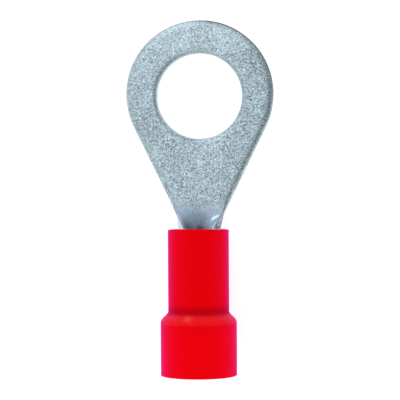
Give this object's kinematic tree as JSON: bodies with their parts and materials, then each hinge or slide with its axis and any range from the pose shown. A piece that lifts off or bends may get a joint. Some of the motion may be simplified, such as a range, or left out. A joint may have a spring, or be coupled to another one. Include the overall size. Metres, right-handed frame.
{
  "type": "ring terminal",
  "caption": "Insulated crimp ring terminal: flat ring tongue with a stud hole, curled throat, rolled butt-seam barrel and a flared vinyl sleeve.",
  "frame": {"origin": "centre of the stud hole in the plane of the tongue's underside", "axes": "+Z along the stud, from the seating face towards the barrel's seam side; +Y towards the ring's tip; the wire enters from -Y"},
  "size_m": [0.0116, 0.0276, 0.006],
  "materials": {
    "tinned_copper": "matte tin plate, finely grained",
    "red_vinyl": "glossy soft vinyl"
  },
  "bodies": {
    "root": {"terminal": "tinned_copper", "sleeve": "red_vinyl"}
  },
  "joints": []
}
